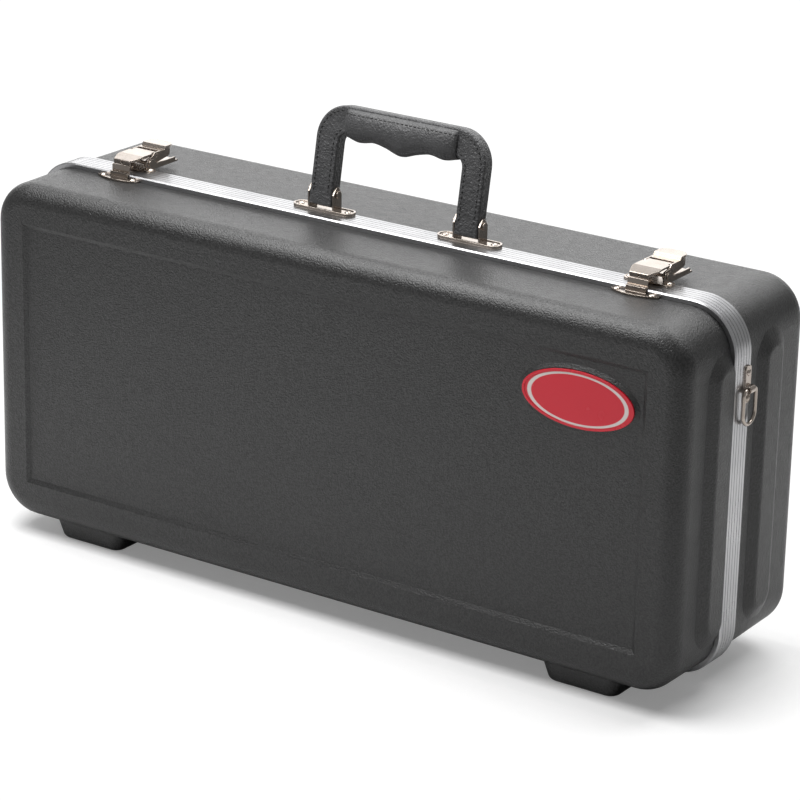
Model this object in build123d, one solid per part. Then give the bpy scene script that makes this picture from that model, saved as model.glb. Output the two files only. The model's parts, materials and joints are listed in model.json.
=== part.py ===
from build123d import *
import os

# Rectangular trumpet case, standing on its hinge side. Two formed ABS halves meet in an aluminium
# frame: the shallow front half is the lid, the deep rear half carries the handle and the latches.
# Millimetres. +X along the length, +Y towards the back, +Z up, origin at the centre of the footprint.

# Shells
CASE_LENGTH = 540.0       # over the two ends
SHELL_HEIGHT = 240.0      # hinge side to handle side, without the feet
LID_DEPTH = 64.0
BODY_DEPTH = 91.0
WALL = 3.0
CORNER_RADIUS = 29.0
EDGE_RADIUS = 13.5
DRAFT = 0.6               # degrees
PANEL_MARGIN = 26.8       # from the outline to the sunk panel
PANEL_DEPTH = 2.0
PANEL_BEVEL = 3.0

# Raised ribs on the ends
RIB_MARGIN = 25.0         # above and below the rib
RIB_WIDTH = 34.0
RIB_RISE = 4.0
RIB_SLOPE = 7.8
RIB_CORNER = 8.5          # in plan, at the top of the slope
RIB_ROUND = 6.0
LID_RIB_EDGE = 35.5       # outer foot line, from the parting plane
BODY_RIB_EDGE = 58.8
RIB_SEAM = 0.3            # between a rib's cut end and the frame

# Moulded feet
FOOT_DROP = 13.0
FOOT_LENGTH = 60.0
FOOT_SLOPE = 4.5
FOOT_SIDE_SLOPE = 3.0
FOOT_CORNER = 8.0
FOOT_START = 16.0         # from the parting plane
FOOT_SETBACK = 9.0        # from the front or back face
FOOT_END_INSET = 72.0     # foot centre to the end of the case
FOOT_ROUND = 5.0

# Aluminium frame
FRAME_WIDTH = 10.0        # each half
FRAME_PROUD = 3.4
FRAME_GAP = 0.4           # between the two halves
FRAME_WEB = 2.2
FRAME_LEG = 1.2
LEG_DEPTH = 8.0
LEG_CLEARANCE = 0.15
FRAME_CHAMFER = 0.8
GROOVE_WIDTH = 0.5
GROOVE_DEPTH = 0.3
GROOVE_PLACES = (3.2, 6.4)
TONGUE_REACH = 4.0        # into the lid
TONGUE_WALL = 1.2
TONGUE_CLEARANCE = 0.3

# Padded linings
LINING_GAP = 0.3
LINING_RIM_GAP = 1.2      # inside the tongue
REBATE_DEPTH = 10.0

# The trumpet's room: horn and valves lie in a plane parallel to the back
WELL_PLANE = 13.5         # behind the parting plane
BELL_ROOM = 64.5          # radius
BELL_THROAT = 16.0
BELL_RIM_LENGTH = 8.0
BELL_FLARE = 150.0
BELL_END_INSET = 30.0     # bell rim to the end of the case
BELL_DROP = 34.0          # horn line below the middle
TUBE_ROOM = 28.0          # half thickness of the tube well
TUBE_WELL_LENGTH = 228.0
TUBE_WELL_HEIGHT = 126.0
TUBE_WELL_SHIFT = -6.0
TUBE_WELL_RISE = 4.0
VALVE_WELL_LENGTH = 92.0
VALVE_WELL_HEIGHT = 196.0
VALVE_WELL_SHIFT = 14.0
LEADPIPE_WIDTH = 26.0
LEADPIPE_RISE = 48.0
LEADPIPE_END_INSET = 25.0
WELL_CORNER = 12.0
POCKET_LENGTH = 112.0
POCKET_HEIGHT = 112.0
POCKET_DEPTH = 60.0
POCKET_END_INSET = 24.0
POCKET_BASE_INSET = 20.0
MOUTHPIECE_RADIUS = 14.5
MOUTHPIECE_TIP = 8.0
MOUTHPIECE_DEPTH = 62.0
MOUTHPIECE_PITCH = 40.0
MOUTHPIECE_COUNT = 3
MOUTHPIECE_END_INSET = 66.0
MOUTHPIECE_RISE = 76.0

# Badge
BADGE_LENGTH = 80.0
BADGE_HEIGHT = 37.0
BADGE_THICK = 1.0
BADGE_ROUND = 0.3
BADGE_RIM = 1.8
BADGE_SUNK = 0.3          # face inside the rim
PAD_MARGIN = 3.2
PAD_RISE = 1.6
PAD_BEVEL = 2.6
BADGE_END_INSET = 74.7
BADGE_TOP_INSET = 55.7

# Rivets
RIVET_SHANK = 1.2
RIVET_HEAD = 2.3
RIVET_DOME = 1.2
RIVET_FIT = 0.05
RIVET_REACH = 2.8         # into what carries the plate

# Latches
LATCH_END_INSET = 68.0
PLATE = 1.2               # sheet of the latches and hinges
BASE_HALF = 11.4          # outside of the side flanges
BASE_REACH = 38.5
BASE_START = 1.0
EAR_HALF = 17.0
EAR_WIDTH = 8.4
EAR_RIVET = 14.0
FLANGE_HEIGHT = 7.0       # at the ears that hold the lever pin
FLANGE_LOW = 3.4
FLANGE_START = 4.0
FLANGE_END = 36.0
PIN_EAR = 3.6             # half width of those ears
LEVER_PIVOT_Y = 8.5
LEVER_PIVOT_Z = 4.6
CLAW_PIVOT_Y = 17.5
CLAW_PIVOT_Z = 8.2
PIVOT_PIN = 1.1
PIN_FIT = 0.06
PIN_HEAD = 1.9
PIN_HEAD_THICK = 0.5
CHEEK_GAP = 0.4
CHEEK_ROUND = 2.8
BARREL = 2.2
WEB_START = 4.0           # behind the claw's pivot
TAB_RISE = 2.0
TAB_STEP = 7.0
TAB_END = 38.0
TAB_CORNER = 6.0
TAIL_BOTTOM = 5.4         # of the cheeks, under the tab
CLAW_BEND = 3.0
CLAW_FRONT = -8.3
CLAW_NOSE_DROP = 1.4
CLAW_NOSE_HALF = 6.6
CLAW_CHAMFER_START = -0.5
CLAW_NECK = 4.5           # narrow part, ahead of its pivot
LIP_BOTTOM = 5.8
LIP_HOLE = 0.8
KEEPER_HALF = 17.0
KEEPER_TIP = 12.6
KEEPER_FRONT = 17.2
KEEPER_GAP = 0.4          # to the frame
KEEPER_RIVET = 12.4
HOOK_HALF = 7.2
HOOK_CLEARANCE = 0.3       # under the claw's lip
HOOK_SHELF = 0.05          # over the frame
HOOK_UPRIGHT = -7.6        # back face, from the parting plane
HOOK_BULGE = 0.6
HOOK_REACH = 3.0

# Handle
HANDLE_X = 12.3
LEG_SPACING = 113.4
LEG_WIDTH = 17.4
HANDLE_THICK = 10.0
HANDLE_RISE = 59.3        # top, above the pivot
LEG_DROP = 8.2            # below the pivot
HANDLE_CORNER = 23.0
HANDLE_INNER_CORNER = 8.0
HANDLE_ROUND = 1.5
HANDLE_LEAN = 10.0        # degrees to the back, as it stands
CORE_THICK = 1.6
CORE_MARGIN = 3.5
GRIP_HALF = 44.0
GRIP_BULGE = 10.2         # from the middle plane
GRIP_END_BULGE = 7.0
GRIP_TOP_HALF = 6.0
GRIP_FOOT_HALF = 3.0
GRIP_TOP = 0.7            # below the top of the handle
GRIP_DEPTHS = (20.4, 22.8, 21.4, 23.4, 26.4, 23.4, 21.4, 22.8, 20.4)

# Handle brackets
BRACKET_LENGTH = 47.0
BRACKET_WIDTH = 11.4
BRACKET_THICK = 1.3
BRACKET_Y = 6.4           # from the parting plane
BRACKET_RIM = 1.3
BRACKET_RIM_RISE = 0.6
BRACKET_RIVET = 18.6
PIVOT_RISE = 12.1         # above the frame
EAR_THICK = 1.2
EAR_BASE = 9.2
EAR_TIP_RISE = 4.7        # above the pivot
EAR_TIP_HALF = 1.2
EAR_GAP = 0.4
HANDLE_PIN = 1.5
HANDLE_PIN_HEAD = 2.5

# Hinges
HINGE_END_INSET = 110.0
KNUCKLE = 2.5
KNUCKLE_SEAT = 2.6        # pin axis to the frame
KNUCKLE_LENGTH = 12.0
KNUCKLE_GAP = 0.3
KNUCKLE_COUNT = 3
LEAF_WIDTH = 9.2
LEAF_CLEARANCE = 0.5
HINGE_PIN = 1.3
HINGE_RIVET = 6.3         # from the parting plane

# Shoulder strap rings
RING_Y = 5.4
RING_TOP_INSET = 51.0     # bar below the top of the shell
RING_PLATE_WIDTH = 6.4
RING_PLATE_UP = 15.0
RING_PLATE_DOWN = 9.0
RING_RIVETS = (10.6, -6.2)
RING_WIRE = 1.2
RING_WIDTH = 15.0
RING_LENGTH = 22.5
RING_CORNER = 3.0
RING_TIP = 7.2
EYE_WALL = 1.15
EYE_FIT = 0.25
EYE_WIDTH = 6.0

# Places that follow from the sizes above
PART_Y = (LID_DEPTH - BODY_DEPTH) / 2
MID_Z = FOOT_DROP + SHELL_HEIGHT / 2
TOP_Z = FOOT_DROP + SHELL_HEIGHT
FRAME_TOP_Z = TOP_Z + FRAME_PROUD
LATCH_X = CASE_LENGTH / 2 - LATCH_END_INSET
HINGE_X = CASE_LENGTH / 2 - HINGE_END_INSET
FOOT_X = CASE_LENGTH / 2 - FOOT_END_INSET
HINGE_Z = FOOT_DROP - FRAME_PROUD - KNUCKLE_SEAT
RING_Z = TOP_Z - RING_TOP_INSET
HALF_GAP = FRAME_GAP / 2
LEG_INNER = WALL + LEG_CLEARANCE + FRAME_LEG
TONGUE_OUTER = LEG_INNER + TONGUE_CLEARANCE
TONGUE_INNER = TONGUE_OUTER + TONGUE_WALL
CHEEK_OUTER = BASE_HALF - PLATE - CHEEK_GAP
CHEEK_INNER = CHEEK_OUTER - PLATE
BARREL_HALF = CHEEK_INNER - CHEEK_GAP
SIDES = {"left": -1, "right": 1}

# Each half is drawn with its parting plane on XY, its depth along +Z and the handle side along +Y.
LID_FRAME = Plane(origin=(0, PART_Y, MID_Z), x_dir=(1, 0, 0), z_dir=(0, -1, 0))
BODY_FRAME = Plane(origin=(0, PART_Y, MID_Z), x_dir=(-1, 0, 0), z_dir=(0, 1, 0))


def place(shape, plane):
    return shape.moved(plane.location)


def outline(offset):
    """The case's rounded outline, grown by an offset."""
    size = 2 * offset
    return RectangleRounded(CASE_LENGTH + size, SHELL_HEIGHT + size, CORNER_RADIUS + offset)


def ring(outer, inner, start, end):
    """A flat ring between two offsets of the outline, over a stretch of the depth."""
    return Pos(0, 0, start) * extrude(outline(outer) - outline(inner), end - start)


def mound(length, width, rise, slope, side_slope, corner, root):
    """A round-cornered block with sloped sides that stands on XY and starts below it."""
    spread = root / rise
    low = RectangleRounded(
        length + 2 * slope * spread, width + 2 * side_slope * spread, corner + min(slope, side_slope)
    )
    high = RectangleRounded(length - 2 * slope, width - 2 * side_slope, corner)
    return loft([Pos(0, 0, -root) * low, Pos(0, 0, rise) * high], ruled=True)


def blank(depth, inset):
    """The plain drafted half, without ribs, feet or panel."""
    block = extrude(outline(-inset), depth - inset, taper=DRAFT)
    face = block.faces().sort_by(Axis.Z)[-1]
    return fillet(face.edges(), EDGE_RADIUS - inset)


def end_ribs(inset, edge):
    """The raised rib on each end, cut off where the frame crosses it."""
    height = SHELL_HEIGHT - 2 * RIB_MARGIN
    rib = mound(height, RIB_WIDTH, RIB_RISE, RIB_SLOPE, RIB_SLOPE, RIB_CORNER, WALL / 2)
    rib = fillet(rib.faces().sort_by(Axis.Z)[-1].edges(), RIB_ROUND)
    stop = FRAME_WIDTH + RIB_SEAM + inset
    keep = Pos(0, 0, stop) * extrude(Rectangle(2 * CASE_LENGTH, SHELL_HEIGHT), edge)
    ribs = []
    for side in SIDES.values():
        wall = side * (CASE_LENGTH / 2 - inset)
        plane = Plane(origin=(wall, 0, edge - RIB_WIDTH / 2), x_dir=(0, 1, 0), z_dir=(side, 0, 0))
        ribs.append(place(rib, plane) & keep)
    return ribs


def feet(depth, inset):
    """The two hollow feet under one half."""
    width = depth - FOOT_SETBACK - FOOT_START
    foot = mound(
        FOOT_LENGTH - inset, width - inset, FOOT_DROP, FOOT_SLOPE, FOOT_SIDE_SLOPE, FOOT_CORNER, WALL / 2
    )
    foot = fillet(foot.faces().sort_by(Axis.Z)[-1].edges(), FOOT_ROUND - inset)
    middle = FOOT_START + width / 2
    base = inset - SHELL_HEIGHT / 2
    down = Plane(origin=(0, base, middle), x_dir=(1, 0, 0), z_dir=(0, -1, 0))
    return [Pos(side * FOOT_X, 0, 0) * place(foot, down) for side in (-1, 1)]


def sunk_panel(depth, inset):
    """What the panel on the broad face takes away."""
    spread = 1 + WALL / PANEL_DEPTH
    length = CASE_LENGTH - 2 * PANEL_MARGIN - 2 * PANEL_BEVEL
    height = SHELL_HEIGHT - 2 * PANEL_MARGIN - 2 * PANEL_BEVEL
    floor = Rectangle(length, height)
    mouth = Rectangle(length + 2 * PANEL_BEVEL * spread, height + 2 * PANEL_BEVEL * spread)
    face = depth - inset
    return loft([Pos(0, 0, face - PANEL_DEPTH) * floor, Pos(0, 0, face + WALL) * mouth], ruled=True)


def skin(depth, inset, rib_edge):
    """Everything inside one face of the formed sheet."""
    form = blank(depth, inset) - sunk_panel(depth, inset)
    return form + end_ribs(inset, rib_edge) + feet(depth, inset)


def formed_shell(depth, rib_edge):
    sheet = skin(depth, 0, rib_edge) - skin(depth, WALL, rib_edge)
    rim = extrude(Rectangle(2 * CASE_LENGTH, 2 * SHELL_HEIGHT), FRAME_WEB)
    return sheet - rim


def badge_place(rise):
    """A plane on the lid's panel where the badge sits, `rise` above the sunk floor."""
    x = CASE_LENGTH / 2 - BADGE_END_INSET
    y = SHELL_HEIGHT / 2 - BADGE_TOP_INSET
    return Pos(x, y, LID_DEPTH - PANEL_DEPTH + rise)


def badge_pad():
    margin = PAD_MARGIN - PAD_BEVEL
    root = WALL / 3
    spread = PAD_MARGIN + PAD_BEVEL * root / PAD_RISE
    low = Ellipse(BADGE_LENGTH / 2 + spread, BADGE_HEIGHT / 2 + spread)
    high = Ellipse(BADGE_LENGTH / 2 + margin, BADGE_HEIGHT / 2 + margin)
    return badge_place(0) * loft([Pos(0, 0, -root) * low, Pos(0, 0, PAD_RISE) * high], ruled=True)


def badge():
    plate = extrude(Ellipse(BADGE_LENGTH / 2, BADGE_HEIGHT / 2), BADGE_THICK)
    plate = fillet(plate.faces().sort_by(Axis.Z)[-1].edges(), BADGE_ROUND)
    field = Ellipse(BADGE_LENGTH / 2 - BADGE_RIM, BADGE_HEIGHT / 2 - BADGE_RIM)
    plate -= Pos(0, 0, BADGE_THICK - BADGE_SUNK) * extrude(field, BADGE_THICK)
    return badge_place(PAD_RISE) * plate


def frame_half(tongued):
    """The aluminium channel round one half, drawn from its meeting face."""
    channel = ring(FRAME_PROUD, 0, HALF_GAP, FRAME_WIDTH)
    channel = chamfer(channel.faces().sort_by(Axis.Z)[-1].outer_wire().edges(), FRAME_CHAMFER)
    for groove in GROOVE_PLACES:
        channel -= ring(FRAME_PROUD + 1, FRAME_PROUD - GROOVE_DEPTH, groove, groove + GROOVE_WIDTH)
    web_inner = TONGUE_INNER if tongued else LEG_INNER
    channel += ring(0, -web_inner, HALF_GAP, FRAME_WEB)
    channel += ring(-WALL - LEG_CLEARANCE, -LEG_INNER, FRAME_WEB, LEG_DEPTH)
    if tongued:
        channel += ring(-TONGUE_OUTER, -TONGUE_INNER, -TONGUE_REACH, FRAME_WEB)
    return channel


def trumpet_room():
    """The horn with its clearance: bell, tube loop, leadpipe and valves."""
    plane_y = PART_Y + WELL_PLANE
    bell_end = CASE_LENGTH / 2 - BELL_END_INSET
    flare_end = bell_end - BELL_RIM_LENGTH
    throat = flare_end - BELL_FLARE
    flare = Spline(
        (throat, BELL_THROAT), (flare_end - BELL_FLARE / 3, 2 * BELL_THROAT), (flare_end, BELL_ROOM),
        tangents=[(1, 0.05), (0.55, 1)],
    )
    edge = [
        Line((throat, 0), (throat, BELL_THROAT)),
        flare,
        Line((flare_end, BELL_ROOM), (bell_end, BELL_ROOM)),
        Line((bell_end, BELL_ROOM), (bell_end, 0)),
        Line((bell_end, 0), (throat, 0)),
    ]
    bell = revolve(make_face(edge), Axis.X)
    room = Pos(0, plane_y, MID_Z - BELL_DROP) * bell
    wells = (
        (TUBE_WELL_SHIFT, TUBE_WELL_RISE, TUBE_WELL_LENGTH, TUBE_WELL_HEIGHT),
        (VALVE_WELL_SHIFT, 0, VALVE_WELL_LENGTH, VALVE_WELL_HEIGHT),
    )
    across = Plane(origin=(0, plane_y, MID_Z), x_dir=(1, 0, 0), z_dir=(0, -1, 0))
    for x, z, length, height in wells:
        well = Pos(x, z) * RectangleRounded(length, height, WELL_CORNER)
        room += extrude(across * well, TUBE_ROOM, both=True)
    pipe_start = LEADPIPE_END_INSET - CASE_LENGTH / 2
    pipe_length = TUBE_WELL_SHIFT - pipe_start
    pipe = Pos(pipe_start + pipe_length / 2, LEADPIPE_RISE)
    pipe *= RectangleRounded(pipe_length, LEADPIPE_WIDTH, WELL_CORNER)
    return room + extrude(across * pipe, TUBE_ROOM, both=True)


def lining(depth):
    """Padding that fills one half, stepped in at the rim to clear the frame."""
    pad = blank(depth - PANEL_DEPTH, WALL + LINING_GAP)
    rim_inset = TONGUE_INNER + LINING_RIM_GAP
    pad -= ring(0, -rim_inset, 0, REBATE_DEPTH)
    return pad - extrude(Rectangle(CASE_LENGTH, SHELL_HEIGHT), HALF_GAP)


def accessory_rooms():
    """The accessory pocket and the tapered mouthpiece holes, in the case's own axes."""
    pocket_x = POCKET_END_INSET + POCKET_LENGTH / 2 - CASE_LENGTH / 2
    pocket_z = FOOT_DROP + POCKET_BASE_INSET + POCKET_HEIGHT / 2
    back = Plane(origin=(0, PART_Y, 0), x_dir=(-1, 0, 0), z_dir=(0, 1, 0))
    pocket = Pos(-pocket_x, pocket_z) * RectangleRounded(POCKET_LENGTH, POCKET_HEIGHT, WELL_CORNER)
    rooms = extrude(back * pocket, POCKET_DEPTH)
    for index in range(MOUTHPIECE_COUNT):
        x = CASE_LENGTH / 2 - MOUTHPIECE_END_INSET - index * MOUTHPIECE_PITCH
        hole = Pos(0, 0, MOUTHPIECE_DEPTH / 2) * Cone(MOUTHPIECE_RADIUS, MOUTHPIECE_TIP, MOUTHPIECE_DEPTH)
        rooms += place(hole, Plane(origin=(x, PART_Y, MID_Z + MOUTHPIECE_RISE), z_dir=(0, 1, 0)))
    return rooms


def rivet(grip):
    """A domed rivet with its head on XY and its shank below."""
    curve = (RIVET_HEAD ** 2 + RIVET_DOME ** 2) / (2 * RIVET_DOME)
    ball = Pos(0, 0, RIVET_DOME - curve) * Sphere(curve)
    dome = ball & Pos(0, 0, curve) * Box(2 * curve, 2 * curve, 2 * curve)
    return dome + Pos(0, 0, -grip / 2) * Cylinder(RIVET_SHANK, grip)


def rivet_hole():
    return Cylinder(RIVET_SHANK + RIVET_FIT, 4 * RIVET_REACH)


def fastened(spots, thick):
    """Rivets at the given planes, which lie on the carrying face, through a plate of one thickness."""
    stud = Pos(0, 0, thick) * rivet(thick + RIVET_REACH)
    return [place(stud, spot) for spot in spots]


def drilled(shape, spots):
    for spot in spots:
        shape -= place(rivet_hole(), spot)
    return shape


def top_spots(x, offsets, y, z):
    return [Plane(origin=(x + offset_, y, z), z_dir=(0, 0, 1)) for offset_ in offsets]


def latch_spots(side):
    y = PART_Y + BASE_START + EAR_WIDTH / 2
    return top_spots(side * LATCH_X, (-EAR_RIVET, EAR_RIVET), y, FRAME_TOP_Z)


def keeper_spots(side):
    y = PART_Y - (KEEPER_TIP + FRAME_WIDTH + KEEPER_GAP) / 2 - RIVET_SHANK
    return top_spots(side * LATCH_X, (-KEEPER_RIVET, KEEPER_RIVET), y, TOP_Z)


def bracket_spots(side):
    x = HANDLE_X + side * LEG_SPACING / 2
    return top_spots(x, (-BRACKET_RIVET, BRACKET_RIVET), PART_Y + BRACKET_Y, FRAME_TOP_Z)


def hinge_spots(side, half):
    """Rivets of one hinge leaf; `half` is 1 on the body and -1 on the lid."""
    reach = (KNUCKLE_LENGTH + KNUCKLE_GAP) * (KNUCKLE_COUNT - 1) / 2
    z = FOOT_DROP - FRAME_PROUD
    y = PART_Y + half * HINGE_RIVET
    return [Plane(origin=(side * HINGE_X + offset_, y, z), z_dir=(0, 0, -1)) for offset_ in (-reach, reach)]


def ring_plane(side):
    """The ring bar's middle on the frame's end face, with +Z outwards and +Y up."""
    origin = (side * (CASE_LENGTH / 2 + FRAME_PROUD), PART_Y + RING_Y, RING_Z)
    return Plane(origin=origin, x_dir=(0, side, 0), z_dir=(side, 0, 0))


def ring_spots(side):
    plane = ring_plane(side)
    return [Plane(plane.location * Pos(0, rise, 0)) for rise in RING_RIVETS]


def side_sheet(profile, start, end):
    """A YZ profile drawn out from x = start to x = end."""
    return extrude(Plane.YZ.offset(start) * profile, end - start)


def bent_sheet(points):
    """A sheet bent along the given points, with its thickness to the left of them."""
    path = Polyline(*points)
    return make_face(offset(path, PLATE, kind=Kind.INTERSECTION, side=Side.LEFT, closed=True))


def pin_bore(radius, y, z):
    bore = Cylinder(radius, 6 * BASE_HALF, rotation=(0, 90, 0))
    return Pos(0, y, z) * bore


def headed_pin(radius, half, head, thick):
    """A pin along X with a flat head at each end."""
    pin = Cylinder(radius, 2 * half, rotation=(0, 90, 0))
    cap = Cylinder(head, thick, rotation=(0, 90, 0))
    return pin + [Pos(side * (half + thick / 2), 0, 0) * cap for side in (-1, 1)]


def latch_base():
    """Channel with two side flanges and riveted ears; y from the parting plane, z from the frame."""
    ears = Pos(0, BASE_START + EAR_WIDTH / 2) * RectangleRounded(2 * EAR_HALF, EAR_WIDTH, EAR_WIDTH / 3)
    length = BASE_REACH - BASE_START
    pan = Pos(0, BASE_START + length / 2) * Rectangle(2 * BASE_HALF, length)
    base = extrude(ears + pan, PLATE)
    ear_start, ear_end = LEVER_PIVOT_Y - PIN_EAR, LEVER_PIVOT_Y + PIN_EAR
    flange = make_face(Polyline(
        (FLANGE_START, PLATE), (FLANGE_START, FLANGE_LOW), (ear_start, FLANGE_HEIGHT),
        (ear_end, FLANGE_HEIGHT), (ear_end + PIN_EAR, FLANGE_LOW), (FLANGE_END, FLANGE_LOW),
        (FLANGE_END, PLATE), close=True,
    ))
    flange = fillet(flange.vertices().group_by(Axis.Y)[-1], PLATE)
    for side in (-1, 1):
        edge = side * BASE_HALF
        base += side_sheet(flange, min(edge, edge - side * PLATE), max(edge, edge - side * PLATE))
    return base - pin_bore(PIVOT_PIN, LEVER_PIVOT_Y, LEVER_PIVOT_Z)


def latch_lever():
    """Cheeks that turn on the base, joined behind the claw by the stepped finger tab."""
    top = CLAW_PIVOT_Z + BARREL
    web_y = CLAW_PIVOT_Y + WEB_START
    step_y = web_y + TAB_STEP
    tail_y = TAB_END - TAB_CORNER
    tail_top = top + TAB_RISE - PLATE / 2
    cheek = make_face(Polyline(
        (LEVER_PIVOT_Y, LEVER_PIVOT_Z - CHEEK_ROUND), (tail_y, TAIL_BOTTOM), (tail_y, tail_top),
        (step_y, tail_top), (step_y - 2 * PLATE, top), (CLAW_PIVOT_Y - BARREL, top),
        (CLAW_PIVOT_Y - CLAW_NECK, top - BARREL), (LEVER_PIVOT_Y, LEVER_PIVOT_Z + CHEEK_ROUND), close=True,
    ))
    cheek = fillet(cheek.vertices().group_by(Axis.X)[-1].sort_by(Axis.Y)[0], 2 * PLATE)
    cheek += Pos(LEVER_PIVOT_Y, LEVER_PIVOT_Z) * Circle(CHEEK_ROUND)
    web = make_face(Polyline(
        (web_y, top - PLATE), (step_y - PLATE, top - PLATE), (step_y, top - PLATE + TAB_RISE),
        (TAB_END, top - PLATE + TAB_RISE), (TAB_END, top + TAB_RISE),
        (step_y - PLATE, top + TAB_RISE), (step_y - 2 * PLATE, top), (web_y, top), close=True,
    ))
    tab = side_sheet(web, -CHEEK_OUTER, CHEEK_OUTER)
    tab = fillet(tab.edges().filter_by(Axis.Z).group_by(Axis.Y)[-1], TAB_CORNER)
    lever = tab
    for side in (-1, 1):
        faces = (side * CHEEK_INNER, side * CHEEK_OUTER)
        lever += side_sheet(cheek, min(faces), max(faces))
    lever -= pin_bore(PIVOT_PIN + PIN_FIT, LEVER_PIVOT_Y, LEVER_PIVOT_Z)
    return lever - pin_bore(PIVOT_PIN, CLAW_PIVOT_Y, CLAW_PIVOT_Z)


def latch_claw():
    """Draw plate rolled round its pin, with a bent nose and a lip over the keeper."""
    top = CLAW_PIVOT_Z + BARREL
    nose = top - CLAW_NOSE_DROP
    bends = [(CLAW_PIVOT_Y, top), (CLAW_BEND, top), (CLAW_FRONT, nose), (CLAW_FRONT, LIP_BOTTOM)]
    section = bent_sheet(bends)
    section = fillet(section.vertices().group_by(Axis.X)[0].sort_by(Axis.Y)[-1], PLATE / 2)
    plate = side_sheet(section, -CHEEK_OUTER, CHEEK_OUTER)
    neck_y = CLAW_PIVOT_Y - CLAW_NECK
    half = (
        (CLAW_NOSE_HALF, CLAW_FRONT), (CHEEK_OUTER, CLAW_CHAMFER_START), (CHEEK_OUTER, neck_y),
        (BARREL_HALF, neck_y), (BARREL_HALF, CLAW_PIVOT_Y),
    )
    other = [(-x, y) for x, y in reversed(half)]
    plan = make_face(Polyline(*half, *other, close=True))
    plate &= extrude(plan, 2 * top)
    barrel = Pos(0, CLAW_PIVOT_Y, CLAW_PIVOT_Z) * Cylinder(BARREL, 2 * BARREL_HALF, rotation=(0, 90, 0))
    claw = plate + barrel - pin_bore(PIVOT_PIN + PIN_FIT, CLAW_PIVOT_Y, CLAW_PIVOT_Z)
    hole_z = (LIP_BOTTOM + nose) / 2
    return claw - Pos(0, CLAW_FRONT, hole_z) * Cylinder(LIP_HOLE, 4 * PLATE, rotation=(90, 0, 0))


def latch_keeper():
    """Lens-shaped plate on the lid, stepped over the frame to a hook under the claw's lip."""
    back = -FRAME_WIDTH - KEEPER_GAP
    lens = make_face([
        ThreePointArc((-KEEPER_HALF, -KEEPER_TIP), (0, -KEEPER_FRONT), (KEEPER_HALF, -KEEPER_TIP)),
        Line((KEEPER_HALF, -KEEPER_TIP), (KEEPER_HALF, back)),
        Line((KEEPER_HALF, back), (-KEEPER_HALF, back)),
        Line((-KEEPER_HALF, back), (-KEEPER_HALF, -KEEPER_TIP)),
    ])
    seat = Pos(0, 0, -FRAME_PROUD)
    under = LIP_BOTTOM - HOOK_CLEARANCE - PLATE
    middle = (HOOK_SHELF + under) / 2
    hook = bent_sheet([
        (back, -FRAME_PROUD), (back, HOOK_SHELF), (HOOK_UPRIGHT, HOOK_SHELF),
        (HOOK_UPRIGHT - HOOK_BULGE, middle), (HOOK_UPRIGHT, under), (HOOK_UPRIGHT + HOOK_REACH, under),
    ])
    return seat * extrude(lens, PLATE) + side_sheet(hook, -HOOK_HALF, HOOK_HALF)


def handle_face(margin, foot):
    """The U outline in the handle's plane, drawn in by a margin, with its legs cut off at `foot`."""
    half = (LEG_SPACING + LEG_WIDTH) / 2 - margin
    inner = (LEG_SPACING - LEG_WIDTH) / 2 + margin
    top = HANDLE_RISE - margin
    outer = make_face(Polyline((-half, foot), (-half, top), (half, top), (half, foot), close=True))
    outer = fillet(outer.vertices().group_by(Axis.Y)[-1], HANDLE_CORNER - margin)
    under = HANDLE_RISE - LEG_WIDTH + margin
    hollow = make_face(Polyline((-inner, foot), (-inner, under), (inner, under), (inner, foot), close=True))
    return outer - fillet(hollow.vertices().group_by(Axis.Y)[-1], HANDLE_INNER_CORNER + margin)


def handle_place(shape):
    """Moves a piece from the handle's plane to where the handle stands, leaning back."""
    stand = Plane(origin=(0, 0, 0), x_dir=(1, 0, 0), z_dir=(0, -1, 0))
    pivot = Pos(HANDLE_X, PART_Y + BRACKET_Y, FRAME_TOP_Z + PIVOT_RISE)
    return pivot * Rot(X=-HANDLE_LEAN) * place(shape, stand)


def handle_bore():
    return Cylinder(HANDLE_PIN + PIN_FIT, LEG_SPACING + 4 * LEG_WIDTH, rotation=(0, 90, 0))


def handle_core():
    """Flat steel U, its ends rolled into eyes round the pins (eyes not bored here)."""
    core = extrude(handle_face(CORE_MARGIN, 0), CORE_THICK / 2, both=True)
    eye = Cylinder(HANDLE_PIN + CORE_THICK, LEG_WIDTH - 2 * CORE_MARGIN, rotation=(0, 90, 0))
    return core + [Pos(side * LEG_SPACING / 2, 0, 0) * eye for side in (-1, 1)]


def handle_cover(core):
    """Covered legs and top band, closed over the steel core."""
    cover = extrude(handle_face(0, -LEG_DROP), HANDLE_THICK / 2, both=True)
    rims = cover.faces().sort_by(Axis.Z)
    edges = rims[0].edges() + rims[-1].edges()
    return fillet(edges, HANDLE_ROUND) - core - handle_bore()


def grip_section(depth, bulge):
    """Across the grip: a narrow top and a full belly, hanging from the origin."""
    top, foot = GRIP_TOP_HALF, GRIP_FOOT_HALF
    fullest = -depth * 0.55
    return make_face([
        Line((-top, 0), (top, 0)),
        ThreePointArc((top, 0), (bulge, fullest), (foot, -depth)),
        Line((foot, -depth), (-foot, -depth)),
        ThreePointArc((-foot, -depth), (-bulge, fullest), (-top, 0)),
    ])


def handle_grip(core, cover):
    """Padded grip with finger waves, lofted through sections along X round the top band."""
    last = len(GRIP_DEPTHS) - 1
    sections = []
    for index, depth in enumerate(GRIP_DEPTHS):
        bulge = GRIP_END_BULGE if index in (0, last) else GRIP_BULGE
        x = GRIP_HALF * (2 * index / last - 1)
        plane = Plane(origin=(x, HANDLE_RISE - GRIP_TOP, 0), x_dir=(0, 0, -1), z_dir=(1, 0, 0))
        sections.append(plane * grip_section(depth, bulge))
    return loft(sections) - core - cover


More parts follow.
